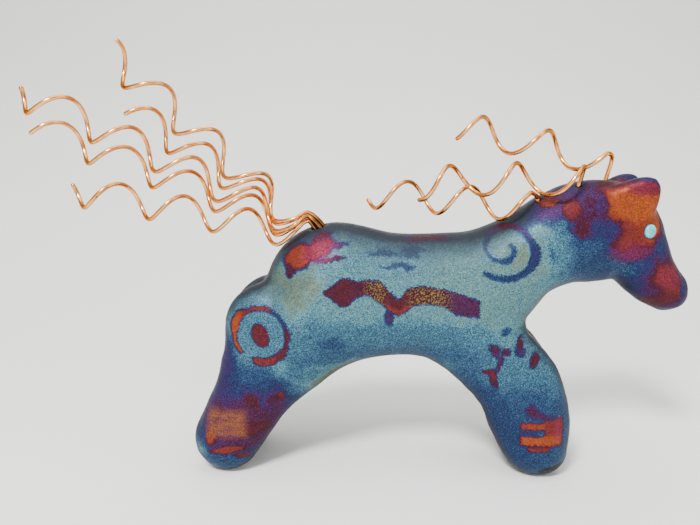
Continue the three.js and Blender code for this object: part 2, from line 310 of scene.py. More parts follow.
def rod(name, mouth, direction, radius, bottom, top, sides=32):
    """A round rod along a direction, from bottom to top as measured from the mouth, in millimetres."""
    middle = (0, 0, (top + bottom) / 2 * MM)
    deselect()
    bpy.ops.mesh.primitive_cylinder_add(
        vertices=sides, radius=radius * MM, depth=(top - bottom) * MM, location=middle
    )
    obj = new_piece(name)
    bpy.ops.object.transform_apply(location=True, rotation=False, scale=False)
    obj.data.transform(turned_to(direction, mouth))
    return obj


# Places of the sockets and the eyes.


def pentagon_radius(wire_diameter):
    """How far each tail wire stands from the middle of the hole that they share."""
    step = wire_diameter + 2 * SOCKET_GAP
    return step / (2 * math.sin(math.pi / len(TAIL_COILS)))


def sockets(wire_diameter):
    """Each drilled socket: its mouth, its direction and its radius."""
    found = [
        (
            part_point(TAIL_ROOT),
            Vector(TAIL_LEAN).normalized(),
            pentagon_radius(wire_diameter) + wire_diameter / 2 + 2 * SOCKET_GAP,
        )
    ]
    for place in MANE_ROOTS:
        radius = wire_diameter / 2 + 1.5 * SOCKET_GAP
        found.append((part_point(place["root"]), Vector(place["lean"]).normalized(), radius))
    return found


def eye_placing(side):
    """Turns a stone modelled face up, length along Y, onto the head. side is 1 for left and -1 for right."""
    low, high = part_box("eye_stone_left")
    middle = (low + high) / 2
    face_out = Matrix.Rotation(math.radians(-90), 4, "X")
    slant = Matrix.Rotation(math.radians(EYE_SLANT), 4, "Y")
    tilt = Matrix.Rotation(math.radians(EYE_TILT_UP), 4, "X")
    turn = Matrix.Rotation(-math.radians(EYE_TURN_FORWARD), 4, "Z")
    placed = Matrix.Translation(middle) @ turn @ tilt @ slant @ face_out
    if side < 0:
        return Matrix.Scale(-1, 4, Vector((0, 1, 0))) @ placed
    return placed


# The clay body.


def clay_height(point):
    """Soft unevenness of hand-built clay, from -1 to 1."""
    return noise.noise(point / BROAD_LUMP) * 0.7 + noise.noise(point / SMALL_LUMP) * 0.3


class HORSE_OT_clay_body(bpy.types.Operator):
    """Model the clay body with its sockets and eye holes, and glaze it"""

    bl_idname = "horse.clay_body"
    bl_label = "Clay Body"

    def execute(self, context):
        clay = context.scene.horse_clay
        wire_diameter = context.scene.horse_wire.diameter / MM
        body = self.copy_of_source()
        self.fill_holes(body, wire_diameter)
        apply_modifier(body, "REMESH", mode="VOXEL", voxel_size=clay.grain)
        apply_modifier(body, "SMOOTH", **CLAY_SMOOTHING)
        self.model_lumps(body, clay.lumps)
        self.cut_holes(body, wire_diameter)
        select_only(body)
        bpy.ops.object.shade_smooth_by_angle(angle=math.radians(CLAY_CREASE))
        finish_piece(body, ["horse_body"], raku_glaze(clay))
        return {"FINISHED"}

    def copy_of_source(self):
        select_only(frame["nodes"]["horse_body"])
        bpy.ops.object.duplicate()
        body = new_piece("clay_body")
        bpy.ops.object.parent_clear(type="CLEAR")
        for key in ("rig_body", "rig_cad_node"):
            del body[key]
        settle(body)
        return body

    def join(self, body, others):
        select_only(body)
        for other in others:
            other.select_set(True)
        bpy.ops.object.join()

    def fill_holes(self, body, wire_diameter):
        """Fills the faceted holes, so that the remesh closes over them and clean ones can be cut."""
        tops = [TAIL_PLUG_TOP] + [MANE_PLUG_TOP] * len(MANE_ROOTS)
        plugs = [
            rod("plug", mouth, lean, radius + PLUG_SLACK, -SOCKET_DEPTH - PLUG_REACH, top)
            for (mouth, lean, radius), top in zip(sockets(wire_diameter), tops)
        ]
        for side in (1, -1):
            deselect()
            bpy.ops.mesh.primitive_uv_sphere_add(segments=24, ring_count=16, radius=1)
            plug = new_piece("plug")
            plug.data.transform(Matrix.Diagonal((*(half * MM for half in EYE_PLUG), 1)))
            plug.data.transform(eye_placing(side) @ Matrix.Translation((0, 0, -EYE_PLUG_DEPTH * MM)))
            settle(plug)
            plugs.append(plug)
        self.join(body, plugs)

    def model_lumps(self, body, height):
        """Moves the skin in and out a little, and keeps the soles flat on the floor."""
        shape = bmesh.new()
        shape.from_mesh(body.data)
        shape.normal_update()
        for vertex in shape.verts:
            point = vertex.co / MM
            above_sole = min(1.0, max(0.0, (point.z - SOLE_FLAT) / SOLE_FADE))
            vertex.co += vertex.normal * clay_height(point) * height * above_sole
            if point.z < SOLE_GUARD:
                vertex.co.z = max(0.0, vertex.co.z)
        shape.to_mesh(body.data)
        shape.free()

    def cut_holes(self, body, wire_diameter):
        """Drills the clean sockets and the oval holes of the eyes."""
        cutters = [
            rod("cutter", mouth, lean, radius, -SOCKET_DEPTH, CUTTER_TOP)
            for mouth, lean, radius in sockets(wire_diameter)
        ]
        eyes = bpy.context.scene.horse_eye
        gap = SOCKET_GAP * MM
        oval = Matrix.Diagonal((eyes.width / 2 + gap, eyes.length / 2 + gap, EYE_CUTTER_LENGTH * MM, 1))
        for side in (1, -1):
            deselect()
            bpy.ops.mesh.primitive_cylinder_add(vertices=40, radius=1, depth=1)
            cutter = new_piece("cutter")
            cutter.data.transform(oval)
            cutter.data.transform(eye_placing(side) @ Matrix.Translation((0, 0, EYE_CUTTER_SHIFT * MM)))
            settle(cutter)
            cutters.append(cutter)
        for cutter in cutters:
            apply_modifier(body, "BOOLEAN", operation="DIFFERENCE", object=cutter, solver="EXACT")
            bpy.data.objects.remove(cutter)


# The wires.


def coil_points(start, full_pitch, coil, coil_radius, first_angle):
    """Points along a coil, from an angle past its first crest to its tip."""
    points = []
    centre = start + Vector(coil["offset"])
    steps = round(coil["turns"] * POINTS_PER_TURN)
    yaw = math.radians(coil["yaw"])
    side = Vector((math.sin(yaw), math.cos(yaw), 0))
    (first_rise, last_rise), (first_stretch, last_stretch) = coil["rise"], coil["stretch"]
    for i in range(steps + 1):
        t = i / steps
        rise = math.radians(first_rise + (last_rise - first_rise) * t)
        pitch = full_pitch * (first_stretch + (last_stretch - first_stretch) * t)
        along = Vector((-math.cos(rise) * math.cos(yaw), math.cos(rise) * math.sin(yaw), math.sin(rise)))
        up = -along.cross(side)
        angle = 2 * math.pi * coil["turns"] * t
        if angle >= math.radians(first_angle) - 1e-9:
            points.append(centre + coil_radius * (up * math.cos(angle) - side * math.sin(angle)))
        centre = centre + along * (pitch * coil["turns"] / steps)
    return points


def straight_points(mouth, lean, wire_diameter):
    """The straight part of a wire, from the end of its socket to just outside the mouth."""
    heights = (SOCKET_GAP - SOCKET_DEPTH, -SOCKET_DEPTH / 2, 0, wire_diameter / 2)
    return [mouth + lean * height for height in heights]


def smooth_path(points, cuts=3):
    """A centripetal Catmull-Rom curve through the points."""
    ends = [points[0] * 2 - points[1], *points, points[-1] * 2 - points[-2]]
    path = []
    for p0, p1, p2, p3 in zip(ends, ends[1:], ends[2:], ends[3:]):
        t1 = max(1e-6, (p1 - p0).length ** 0.5)
        t2 = t1 + max(1e-6, (p2 - p1).length ** 0.5)
        t3 = t2 + max(1e-6, (p3 - p2).length ** 0.5)
        for i in range(cuts):
            t = t1 + (t2 - t1) * i / cuts
            a1 = p0 * ((t1 - t) / t1) + p1 * (t / t1)
            a2 = p1 * ((t2 - t) / (t2 - t1)) + p2 * ((t - t1) / (t2 - t1))
            a3 = p2 * ((t3 - t) / (t3 - t2)) + p3 * ((t - t2) / (t3 - t2))
            b1 = a1 * ((t2 - t) / t2) + a2 * (t / t2)
            b2 = a2 * ((t3 - t) / (t3 - t1)) + a3 * ((t - t1) / (t3 - t1))
            path.append(b1 * ((t2 - t) / (t2 - t1)) + b2 * ((t - t1) / (t2 - t1)))
    return [*path, points[-1]]


class HORSE_OT_copper_wires(bpy.types.Operator):
    """Wind the eight copper wires of the tail and the mane"""

    bl_idname = "horse.copper_wires"
    bl_label = "Copper Wires"

    def execute(self, context):
        wire = context.scene.horse_wire
        diameter, dowel = wire.diameter / MM, wire.dowel / MM
        coil_radius = (dowel + diameter) / 2 - COIL_SLACK
        material = bare_copper(wire)
        for node, path in zip(TAIL_NODES, self.tail_paths(diameter, coil_radius)):
            self.wind(node, path, diameter, material)
        for node, path in zip(MANE_NODES, self.mane_paths(diameter, coil_radius)):
            self.wind(node, path, diameter, material)
        return {"FINISHED"}

    def tail_paths(self, diameter, coil_radius):
        """The five wires stand in a ring in their hole and in the same ring at the crest."""
        lean = Vector(TAIL_LEAN).normalized()
        across = Vector((0, 1, 0))
        upward = across.cross(lean)
        spread = pentagon_radius(diameter)
        for i, coil in enumerate(TAIL_COILS):
            angle = math.pi / 2 - 2 * math.pi * i / len(TAIL_COILS)
            sideways, raised = spread * math.cos(angle), spread * math.sin(angle)
            mouth = part_point(TAIL_ROOT) + across * sideways + upward * raised
            crest = part_point(TAIL_CREST) + Vector((0, sideways, raised))
            yield [
                *straight_points(mouth, lean, diameter),
                crest,
                *coil_points(part_point(TAIL_CREST), TAIL_PITCH, coil, coil_radius, TAIL_FIRST_ANGLE),
            ]

    def mane_paths(self, diameter, coil_radius):
        for coil, place in zip(MANE_COILS, MANE_ROOTS):
            root = part_point(place["root"])
            lead = straight_points(root, Vector(place["lean"]).normalized(), diameter)
            if place["bend"]:
                turns = coil_points(root, MANE_PITCH, coil, coil_radius, BENT_FIRST_ANGLE)
                yield [*lead, root + Vector(place["bend"]), *turns]
            else:
                yield [*lead, *coil_points(root, MANE_PITCH, coil, coil_radius, MANE_FIRST_ANGLE)]

    def wind(self, node, points, diameter, material):
        """Makes one wire along its points, with a rounded tip."""
        path = smooth_path(points)
        radius = diameter / 2
        end = (path[-1] - path[-2]).normalized()
        tip = [(path[-1] - end * radius * (1 - along), share) for along, share in TIP_ROUNDING]
        drawn = [(place, 1.0) for place in path[:-1]] + tip + [(path[-1], TIP_END)]
        deselect()
        bpy.ops.curve.primitive_nurbs_path_add()
        curve = new_piece(f"copper_{node}")
        curve.data.splines.clear()
        spline = curve.data.splines.new("POLY")
        spline.points.add(len(drawn) - 1)
        for point, (place, share) in zip(spline.points, drawn):
            point.co = (*(place * MM), 1)
            point.radius = share
        curve.data.dimensions = "3D"
        curve.data.twist_mode = "MINIMUM"
        curve.data.bevel_depth = radius * MM
        curve.data.bevel_resolution = 6
        curve.data.use_fill_caps = True
        bpy.ops.object.convert(target="MESH")
        piece = bpy.context.object
        settle(piece)
        bpy.ops.object.shade_smooth()
        finish_piece(piece, [node], material)


# The eyes.


class HORSE_OT_eye_stones(bpy.types.Operator):
    """Set a domed oval turquoise in each side of the head"""

    bl_idname = "horse.eye_stones"
    bl_label = "Eye Stones"

    def execute(self, context):
        eyes = context.scene.horse_eye
        material = turquoise(eyes)
        for side, node in ((1, "eye_stone_left"), (-1, "eye_stone_right")):
            stone = self.cut_stone(node.replace("eye_stone", "turquoise"), eyes)
            stone.data.transform(eye_placing(side))
            settle(stone)
            bpy.ops.object.shade_smooth_by_angle(angle=math.radians(STONE_CREASE))
            finish_piece(stone, [node], material)
        return {"FINISHED"}

    def cut_stone(self, name, eyes):
        """A cabochon: a low dome over a straight girdle, with a flat back."""
        deselect()
        bpy.ops.mesh.primitive_uv_sphere_add(segments=48, ring_count=24, radius=1)
        stone = new_piece(name)
        shape = bmesh.new()
        shape.from_mesh(stone.data)
        below = [v for v in shape.verts if v.co.z < -1e-4]
        bmesh.ops.delete(shape, geom=below, context="VERTS")
        shape.to_mesh(stone.data)
        shape.free()
        stone.data.transform(Matrix.Diagonal((eyes.width / 2, eyes.length / 2, eyes.dome, 1)))
        bpy.ops.object.mode_set(mode="EDIT")
        bpy.ops.mesh.select_all(action="DESELECT")
        bpy.ops.mesh.select_non_manifold()
        bpy.ops.mesh.extrude_region_move(TRANSFORM_OT_translate={"value": (0, 0, -GIRDLE_DEPTH * MM)})
        bpy.ops.mesh.edge_face_add()
        bpy.ops.mesh.inset(thickness=BACK_BEVEL[0] * MM, depth=BACK_BEVEL[1] * MM)
        bpy.ops.object.mode_set(mode="OBJECT")
        depth_to_middle = (GIRDLE_DEPTH * MM - eyes.dome) / 2
        stone.data.transform(Matrix.Translation((0, 0, depth_to_middle)))
        return stone


# Shader building.

# Outputs of the Texture Coordinate node: the direction of the skin, and the place on the piece.
SKIN_NORMAL = 1
OBJECT_PLACE = 3


class Link:
    """A node socket in a Python expression. Numbers and other links combine with it."""

    def __init__(self, shader, socket):
        self.shader = shader
        self.socket = socket

    def __add__(self, other):
        return self.shader.math("ADD", self, other)

    def __radd__(self, other):
        return self.shader.math("ADD", other, self)

    def __sub__(self, other):
        return self.shader.math("SUBTRACT", self, other)

    def __rsub__(self, other):
        return self.shader.math("SUBTRACT", other, self)

    def __mul__(self, other):
        return self.shader.math("MULTIPLY", self, other)

    def __abs__(self):
        return self.shader.math("ABSOLUTE", self)


class Shader:
    """Writes one material's nodes."""

    def __init__(self, name):
        self.material = bpy.data.materials.new(name)
        self.material.use_nodes = True
        self.tree = self.material.node_tree
        self.tree.nodes.clear()

    def node(self, kind, settings=None, inputs=None, output=0):
        """Adds a node: its settings first, then its sockets' values or links."""
        node = self.tree.nodes.new(kind)
        for key, value in (settings or {}).items():
            if key == "stops":
                self.set_stops(node.color_ramp, value)
            else:
                setattr(node, key, value)
        for key, value in (inputs or {}).items():
            if isinstance(value, Link):
                self.tree.links.new(value.socket, node.inputs[key])
            else:
                node.inputs[key].default_value = value
        return Link(self, node.outputs[output]) if node.outputs else None

    def set_stops(self, ramp, stops):
        while len(ramp.elements) < len(stops):
            ramp.elements.new(1)
        for element, (position, colour) in zip(ramp.elements, stops):
            element.position = position
            element.color = (*colour, 1)

    def math(self, operation, *values, clamp=False):
        return self.node(
            "ShaderNodeMath", {"operation": operation, "use_clamp": clamp}, dict(enumerate(values))
        )

    def maximum(self, a, b):
        return self.math("MAXIMUM", a, b)

    def clamped(self, value):
        return self.math("ADD", value, 0.0, clamp=True)

    def ramp(self, value, low, high, to_low=0.0, to_high=1.0):
        """Goes smoothly from to_low to to_high as the value goes from low to high."""
        return self.node(
            "ShaderNodeMapRange",
            {"interpolation_type": "SMOOTHSTEP"},
            {"Value": value, "From Min": low, "From Max": high, "To Min": to_low, "To Max": to_high},
        )

    def mix(self, factor, a, b):
        """Between two numbers."""
        return self.node("ShaderNodeMix", {"data_type": "FLOAT"}, {0: factor, 2: a, 3: b})

    def mix_colour(self, factor, a, b, blend="MIX"):
        """Between two colours, each a link or three linear numbers."""
        a, b = (c if isinstance(c, Link) else (*c, 1) for c in (a, b))
        settings = {"data_type": "RGBA", "blend_type": blend}
        return self.node("ShaderNodeMix", settings, {0: factor, 6: a, 7: b}, output=2)

    def stretched(self, vector, factors):
        """A vector with each part multiplied by its own factor."""
        return self.node("ShaderNodeVectorMath", {"operation": "MULTIPLY"}, {0: vector, 1: factors})

    def length(self, x, y):
        """How long the vector with these two parts is."""
        joined = self.node("ShaderNodeCombineXYZ", None, {0: x, 1: y, 2: 0.0})
        return self.node("ShaderNodeVectorMath", {"operation": "LENGTH"}, {0: joined}, output=1)

    def parts(self, vector):
        """The three parts of a vector or a colour."""
        split = self.node("ShaderNodeSeparateXYZ", None, {0: vector}).socket.node
        return [Link(self, split.outputs[i]) for i in range(3)]

    def noise(self, place, size, detail=2.0, roughness=0.5, output=0):
        """Noise with features of a size, in the units of the place."""
        return self.node(
            "ShaderNodeTexNoise",
            None,
            {"Vector": place, "Scale": 1 / size, "Detail": detail, "Roughness": roughness},
            output,
        )

    def millimetres(self):
        """Where the point is on the piece, in millimetres."""
        place = self.node("ShaderNodeTexCoord", output=OBJECT_PLACE)
        return self.node("ShaderNodeVectorMath", {"operation": "SCALE"}, {0: place, "Scale": 1 / MM})

    def finish(self, bump=None, **sockets):
        """Joins a Principled shader to the output and gives the material. bump is a height and its scale."""
        values = {name.replace("_", " "): value for name, value in sockets.items()}
        if bump:
            height, distance = bump
            values["Normal"] = self.node(
                "ShaderNodeBump", None, {"Height": height, "Distance": distance, "Strength": 1.0}
            )
        surface = self.node("ShaderNodeBsdfPrincipled", None, values)
        self.node("ShaderNodeOutputMaterial", None, {"Surface": surface})
        return self.material


def srgb(red, green, blue):
    """A colour as seen on a screen, from 0 to 255, as a linear colour."""
    shares = (red / 255, green / 255, blue / 255)
    return tuple(c / 12.92 if c <= 0.04045 else ((c + 0.055) / 1.055) ** 2.4 for c in shares)


# The glaze.
# One number, the thickness of the flashed copper film, gives the colour. It is 0 in bare copper and rises
# through red, violet and blue to pale turquoise and olive. A mark takes it towards its own thickness, so its
# soft edge runs through the colours in between.
FILM_COLOURS = [
    (0.00, srgb(142, 69, 27)),
    (0.09, srgb(112, 45, 31)),
    (0.19, srgb(84, 31, 39)),
    (0.28, srgb(56, 24, 32)),
    (0.37, srgb(62, 28, 60)),
    (0.46, srgb(43, 34, 76)),
    (0.55, srgb(29, 40, 72)),
    (0.66, srgb(38, 62, 90)),
    (0.77, srgb(53, 87, 106)),
    (0.87, srgb(72, 116, 128)),
    (0.94, srgb(92, 114, 100)),
    (1.00, srgb(84, 78, 48)),
]
ORANGE = 0.02
MAROON = 0.27
MAGENTA = 0.34
VIOLET = 0.42
NAVY = 0.54
BLUE = 0.63
TEAL = 0.76
PALE = 0.87
OLIVE = 0.97

# Colours that aren't of the film.
PINK = srgb(122, 36, 64)
TAN = srgb(112, 66, 46)
GOLD_SPECK = srgb(106, 92, 44)
# Greys of painted shade for the back and the outer edges.
BACK_PAINTED_SHADE = srgb(46, 56, 68)
COOL_RIM_SHADE = srgb(24, 27, 36)
WARM_RIM_SHADE = srgb(44, 44, 50)
SOOT = srgb(20, 19, 19)

# How far an edge wanders and how ragged it is. A patch at least as soft as CLOUDY_FROM is cloudy.
FLASH_EDGE = (16.0, 3.4)
CLOUDY_EDGE = (10.0, 6.5)
CRISP_EDGE = (5.0, 3.4)
BLUSH_EDGE = (6.0, 6.0)
TOE_EDGE = (1.5, 1.5)
CLOUDY_FROM = 0.9

# How far the edges of painted marks waver, broadly and grain by grain.
BRUSH_WAVER = 2.3
GRAIN_WAVER = 2.2

# Broad flashes: x, z, half length, half height, slant in degrees, softness, film.
FLASHES = [
    (19, 94.5, 65, 20, 0, 0.9, 0.86),
    (56, 99, 28, 28, 0, 0.9, 0.89),
    (-35, 96, 20, 9.5, 12, 0.9, 0.95),
    (90, 115, 22, 13, 15, 0.8, 0.95),
    (10, 72, 62, 9, 0, 0.9, 0.74),
    (20, 63, 70, 4.5, 0, 0.9, 0.68),
    (78, 79, 13, 17, 0, 0.9, PALE),
    (76.5, 54, 21, 16, 0, 0.9, TEAL),
    (84, 24.5, 32, 25, 0, 0.8, 0.6),
    (66, 30, 10, 29, 30, 0.8, 0.57),
    (-52, 75, 20, 21, 0, 0.9, 0.79),
    (-58, 49, 19, 13, 0, 0.8, 0.59),
    (-68, 50, 7.5, 19, -10, 0.9, 0.45),
    (-45, 41, 16, 10, 0, 0.9, 0.45),
    (-56, 27, 24, 14, 0, 0.8, 0.31),
    (-66, 8, 20, 5, 0, 0.7, 0.6),
    (129, 123, 34, 32, 0, 1.2, 0.48),
    (123.5, 108.5, 18, 8.8, 8, 0.9, BLUE),
    (98, 137, 25, 6.5, 22, 0.9, 0.38),
    (149, 95, 15, 16, 0, 1.0, 0.31),
    (112, 124, 10, 10, 0, 1.2, 0.44),
]

# Smaller patches with broken edges, in the same way.
PATCHES = [
    (122, 134, 15, 12, 20, 1.2, 0.2),
    (126, 135, 13, 10, 0, 1.0, 0.03),
    (133.5, 129, 7.5, 14, 0, 0.9, ORANGE),
    (126, 119.5, 9, 6, 30, 1.2, 0.14),
    (131, 144, 7, 3.6, 0, 0.8, 0.19),
    (134, 149, 14, 3.4, 0, 0.8, 0.48),
    (89, 136, 4.5, 1.6, 8, 0.8, 0.1),
    (98.5, 133, 4.5, 4.5, 0, 0.8, 0.17),
    (103.5, 126, 5, 4, 0, 0.9, MAROON),
    (111, 135, 4.5, 5.5, 0, 0.9, 0.4),
    (112.5, 123.5, 6.5, 5, 0, 0.9, 0.5),
    (107.5, 116.5, 6, 4.5, 0, 0.9, BLUE),
    (131, 113, 7, 4, 0, 0.9, 0.36),
    (146, 101.5, 7, 6.5, 0, 1.2, 0.16),
    (150, 94, 5.5, 5, 0, 1.2, 0.17),
    (143, 88.5, 8.7, 2.7, 10, 0.8, 0.23),
    (155, 95.5, 1.9, 7, 0, 0.8, NAVY),
    (-28.5, 110.5, 8.2, 5.2, 33, 0.6, 0.1),
    (-18.5, 114.5, 7.5, 3.8, 25, 0.6, 0.2),
    (-17, 119.5, 6.2, 1.5, 20, 0.7, 0.3),
    (-9.5, 116.5, 5.2, 1.2, 14, 0.7, VIOLET),
    (-12.5, 110.5, 5.6, 1.1, 8, 0.7, 0.31),
    (-32, 103.5, 2.4, 2.4, 0, 0.7, 0.3),
    (33, 118.5, 12, 1.4, 2, 0.8, MAROON),
    (12, 113, 7.5, 1.7, -2, 0.9, 0.6),
    (24.5, 113.5, 4.3, 1.9, 0, 0.9, 0.58),
    (21.5, 107, 4.7, 1.9, 0, 0.9, 0.58),
    (14, 106.5, 4.2, 1.2, 0, 0.9, BLUE),
    (-13.5, 69.5, 6.7, 2.9, -5, 0.9, BLUE),
    (-10, 53, 15, 3, 22, 0.9, OLIVE),
    (-39.5, 41.5, 4, 3, 0, 0.8, 0.3),
    (-37, 43.5, 1.5, 1.5, 0, 0.8, 0.18),
    (-51, 41, 4, 3.5, 0, 0.9, MAROON),
    (-50.5, 26.5, 7.7, 4.6, 0, 0.9, 0.24),
    (-72.5, 22, 2.6, 4.2, 0, 0.8, 0.08),
    (-64, 15.5, 9, 2.1, 6, 0.8, 0.13),
    (-57, 11.5, 4.8, 1.6, -10, 0.8, 0.2),
    (64.6, 67.2, 2, 3.4, 30, 0.7, 0.32),
    (66.3, 60.2, 1, 2.4, 0, 0.7, 0.34),
    (67.5, 63, 1.5, 2, 0, 0.7, MAGENTA),
    (70, 66.5, 2.2, 1.5, 0, 0.7, MAGENTA),
    (62, 57.2, 2.8, 1.4, 0, 0.7, 0.22),
    (64.3, 55.5, 1.9, 3.6, 0, 0.7, 0.21),
    (65, 51.5, 1.6, 2.4, 0, 0.8, 0.31),
    (76.5, 67, 2.5, 2.7, 0, 0.7, VIOLET),
    (77, 70.5, 1.2, 2.5, -20, 0.7, 0.3),
    (83.5, 62.5, 2.5, 3.5, -20, 0.6, MAROON),
    (69.5, 76, 2.5, 1.7, 0, 0.8, 0.6),
    (90, 112.5, 1.5, 2.9, 25, 0.9, 0.64),
    (83.5, 37.5, 2.6, 3, 0, 0.8, 0.33),
    (88, 35, 5.2, 1.6, 0, 0.8, 0.38),
]

# The front leg's brushed block and its bars: x, z, half length, half height, film.
BARS = [
    (85, 30.2, 6.5, 1.7, 0.08),
    (94.5, 26.7, 4.7, 6.7, 0.15),
    (88.4, 22.7, 9.5, 2.4, 0.04),
    (87.5, 18.3, 5.3, 1.1, 0.13),
    (82.3, 26.5, 3.8, 1.3, 0.5),
]

# The hind foot's tan box: x, z, half length, half height.
TAN_BOX = (-64.5, 29.0, 10.0, 7.0)

# Pink blushes over the film, and the black tip of the front foot: x, z, half length, half height, slant in
# degrees, softness.
TOE = (95.5, 6, 6.8, 2.6, 16, 0.35)
BLUSHES = [
    (-19, 113.5, 8, 5, 25, 0.9),
    (96.5, 28, 2.6, 6, 0, 0.7),
    (131, 143, 6, 3, 0, 0.9),
    (148, 101, 5, 5, 0, 1.2),
    (127, 114, 9, 4, 10, 1.2),
]

# The ring and dot on the haunch.
RING_MIDDLE = (-46.6, 73.8)
RING_RADIUS = 13.2

# The wavy band along the barrel, from tail to head: x, height of its middle, half width, film. It is drawn by
# its height above BAND_BASE.
BAND_BASE = 84
BAND = [
    (-16.4, 95.6, 0.4, 0.28),
    (-8, 95.4, 6.5, 0.26),
    (-4.6, 95.6, 6.3, 0.26),
    (-1, 96.8, 3.8, 0.29),
    (4, 97.8, 3.3, 0.28),
    (9.6, 95.9, 5.1, 0.27),
    (15.1, 90.7, 4.7, 0.26),
    (18.9, 88.3, 3.9, 0.25),
    (22.6, 91.9, 5.1, 0.26),
    (26.7, 94.1, 4.4, 0.27),
    (34, 94.2, 4.0, 0.28),
    (40, 93.1, 4.2, 0.3),
    (45.8, 90.3, 5.4, 0.35),
    (56.6, 87.8, 4.1, 0.34),
]

# The spiral on the shoulder: degrees round its middle, its radius, half width, film. Each of its windings is
# drawn by itself, from the seam on.
SPIRAL_MIDDLE = (68.0, 114.5)
SPIRAL_SEAM = 215
SPIRAL = [
    (221, 14.2, 0.7, 0.58),
    (236, 13.2, 1.3, 0.55),
    (270, 12.4, 1.5, 0.54),
    (303, 12.9, 1.7, 0.56),
    (335, 13.6, 2.3, 0.52),
    (358, 13.7, 2.4, 0.5),
    (386, 12.2, 1.7, 0.53),
    (412, 12.3, 1.3, 0.4),
    (444, 10.2, 1.3, 0.24),
    (480, 8.7, 1.0, 0.4),
    (534, 9.0, 0.9, 0.62),
    (565, 7.2, 1.1, 0.6),
    (575, 6.6, 1.1, 0.59),
    (613, 4.6, 1.3, 0.57),
    (691, 3.8, 1.4, 0.56),
    (742, 4.0, 1.2, 0.58),
    (790, 3.3, 0.9, 0.6),
]


def raku_glaze(clay):
    """Copper glaze that went through a smoky fire: a film in many colours over matte clay."""
    shader = Shader("raku_glaze")
    place = shader.millimetres()
    broad = shader.noise(place, 9.0, 3.0, 0.55, output=1)
    fine = shader.noise(place, 2.6, 3.0, 0.65, output=1)
    grain = shader.noise(place, 0.52, 2.0, 0.6)
    pepper = shader.noise(place, 0.66, 1.0, 0.5)
    grit = shader.noise(place, 1.3, 2.0, 0.6)
    cloud = shader.noise(place, 24.0, 4.0, 0.6)
    x, _, z = shader.parts(place)
    bx, _, bz = shader.parts(broad)
    fx, _, fz = shader.parts(fine)

    def spread(patch, edge):
        """How much a soft oval covers the point, with an edge that wanders and is ragged."""
        cx, cz, rx, rz, slant, soft = patch[:6]
        wander, ragged = edge
        px = x + (bx - 0.5) * wander + (fx - 0.5) * ragged - cx
        pz = z + (bz - 0.5) * wander + (fz - 0.5) * ragged - cz
        c, s = math.cos(math.radians(slant)), math.sin(math.radians(slant))
        along = (px * c + pz * s) * (1 / rx)
        across = (pz * c - px * s) * (1 / rz)
        return shader.ramp(shader.length(along, across), 1 + soft * 0.5, 1 - soft * 0.5)

    film = shader.ramp(cloud, 0.3, 0.7, 0.68, 0.9)
    for flash in FLASHES:
        film = shader.mix(spread(flash, FLASH_EDGE) * 0.9, film, flash[-1])
    head = shader.ramp(x + (z - 120) * 0.5, 100.0, 112.0)
    film = film + head * ((bx - 0.5) * 0.5 + (fz - 0.5) * 0.4 - 0.02)
    for patch in PATCHES:
        edge = CLOUDY_EDGE if patch[5] >= CLOUDY_FROM else CRISP_EDGE
        film = shader.mix(spread(patch, edge), film, patch[-1])

    # Painted marks, with edges that waver as a brush does.
    mx = x + (fx - 0.5) * BRUSH_WAVER + (grain - 0.5) * GRAIN_WAVER
    mz = z + (fz - 0.5) * BRUSH_WAVER + (pepper - 0.5) * GRAIN_WAVER
    film, gold = painted_marks(shader, mx, mz, film)

    def beyond_box(cx, cz, rx, rz):
        """How far outside a box the point is, and below zero inside it."""
        return shader.maximum(abs(mx - cx) - rx, abs(mz - cz) - rz)

    for *box, thin in BARS:
        film = shader.mix(shader.ramp(beyond_box(*box), 1.0, -0.7), film, thin)

    film = film + (grain - 0.5) * (0.25 + shader.clamped(film) * 0.28) + (grit - 0.5) * 0.16
    colour = shader.node("ShaderNodeValToRGB", {"stops": FILM_COLOURS}, {"Fac": film})
    for blush in BLUSHES:
        colour = shader.mix_colour(spread(blush, BLUSH_EDGE) * 0.35, colour, PINK)
    streaks = shader.noise(shader.stretched(place, (0.3, 0.3, 1.6)), 2.4, 2.0, 0.6)
    tan = shader.ramp(beyond_box(*TAN_BOX), 2.4, -3.2) * shader.ramp(streaks, 0.3, 0.6, 0.4, 0.95)
    colour = shader.mix_colour(tan, colour, TAN)
    speckle = shader.ramp(pepper, 0.5, 0.6)
    colour = shader.mix_colour(gold * speckle * 0.8, colour, GOLD_SPECK)
    shade = shader.ramp(grain, 0.3, 0.7, 0.62, 1.34) * shader.ramp(pepper, 0.3, 0.7, 0.72, 1.24)
    grey = shader.node("ShaderNodeCombineColor", None, {0: shade, 1: shade, 2: shade})
    colour = shader.mix_colour(1.0, colour, grey, "MULTIPLY")

    # Painted shade: grey along the back and darker edges where the skin turns away from the side.
    normal = shader.node("ShaderNodeTexCoord", output=SKIN_NORMAL)
    _, facing, upward = shader.parts(normal)
    unpainted = shader.ramp(film, 0.42, 0.6)
    # Painted shade greys the back where the skin faces up.
    back = shader.ramp(upward + (fz - 0.5) * 0.5, 0.2, 0.85) * unpainted
    colour = shader.mix_colour(back * 0.72, colour, BACK_PAINTED_SHADE)
    # Painted shade darkens the belly and the outer edges where the skin turns away from the side.
    turned = shader.ramp(abs(facing) + (fx - 0.5) * 0.25, 0.84, 0.36)
    rim_shade = shader.mix_colour(grit, COOL_RIM_SHADE, WARM_RIM_SHADE)
    colour = shader.mix_colour(turned * (0.3 + unpainted * 0.6), colour, rim_shade)

    # The soles and the tip of the front foot were bare clay in the smoke.
    sole = shader.ramp(z + (fz - 0.5) * 1.2, 2.0, 1.0)
    toe = spread(TOE, TOE_EDGE)
    colour = shader.mix_colour(shader.maximum(sole, toe), colour, SOOT)

    roughness = shader.ramp(grit, 0.3, 0.7, clay.roughness - 0.07, clay.roughness + 0.08)
    height = grain * 0.6 + grit * 0.4 + cloud * 0.5
    return shader.finish(
        bump=(height, 0.09 * MM),
        Base_Color=colour,
        Roughness=roughness,
        Metallic=clay.metallic,
        Specular_IOR_Level=0.06,
    )


